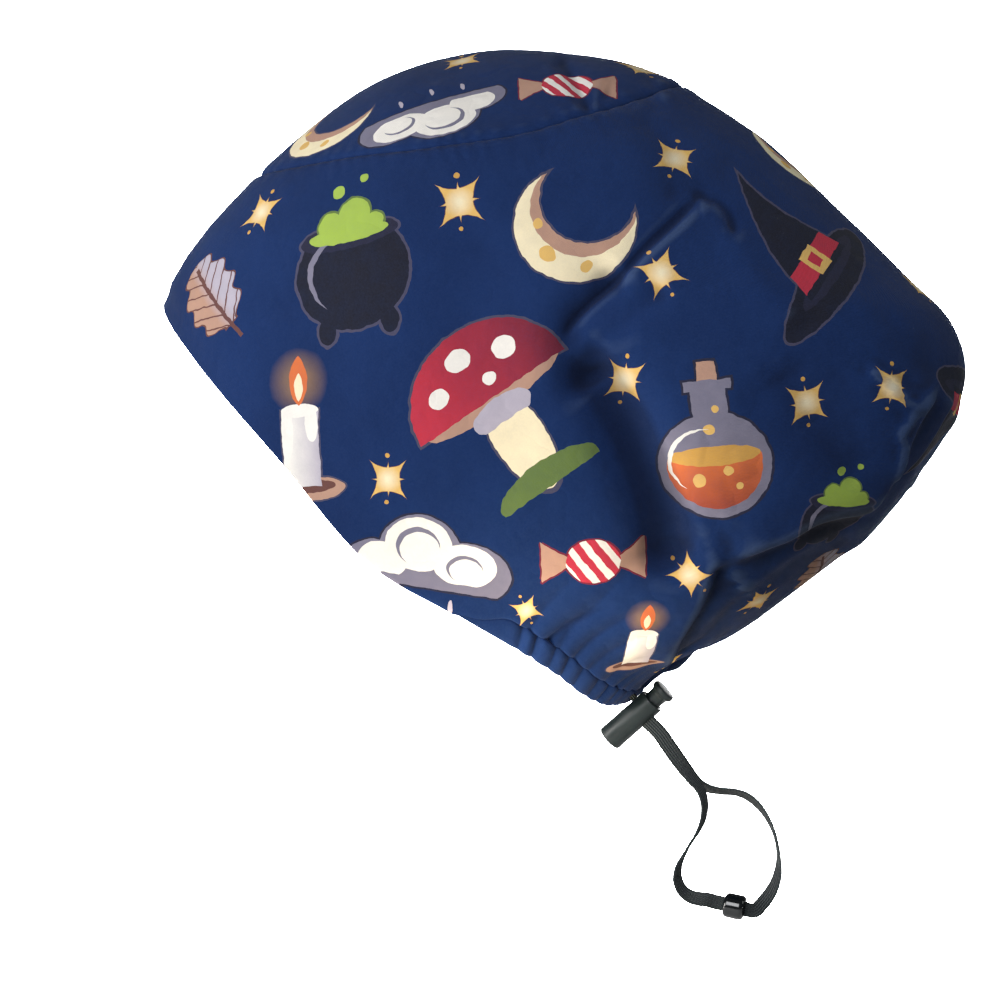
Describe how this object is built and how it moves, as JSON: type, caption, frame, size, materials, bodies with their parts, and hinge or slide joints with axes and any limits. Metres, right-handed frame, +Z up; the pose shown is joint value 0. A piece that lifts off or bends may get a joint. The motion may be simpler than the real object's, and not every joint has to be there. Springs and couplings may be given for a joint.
{
  "type": "scrub cap",
  "caption": "Worn cotton scrub cap with a deep back pouch, an oval crown, a gathered nape channel and a flat elastic drawcord with a sprung cord lock and a bead.",
  "frame": {"origin": "centre of the head inside the cap, level with the temples, where the cap sits", "axes": "+Z up as worn, -X the way the wearer faces, -Y towards the wearer's left"},
  "size_m": [0.3068, 0.1602, 0.3268],
  "materials": {
    "printed_cotton": "plain-woven navy cotton with an all-over print, matt",
    "elastic": "flat braided black elastic, matt",
    "lock_plastic": "moulded black plastic, satin",
    "bead_plastic": "polished black plastic"
  },
  "bodies": {
    "cap": {"body_panel": "printed_cotton", "crown_panel": "printed_cotton", "nape_casing": "printed_cotton", "casing_elastic_left": "elastic", "casing_elastic_right": "elastic", "cord_lock_barrel": "lock_plastic", "drawcord_left": "elastic", "drawcord_right": "elastic", "cord_bead": "bead_plastic"},
    "plunger": {"cord_lock_plunger": "lock_plastic"}
  },
  "joints": [
    {"name": "plunger_press", "type": "slide", "parent": "cap", "child": "plunger", "axis": [-0.7538, 0, -0.6571], "range_m": [0, 0.0035], "stiffness_N_per_m": 400, "springref_m": -0.002}
  ]
}
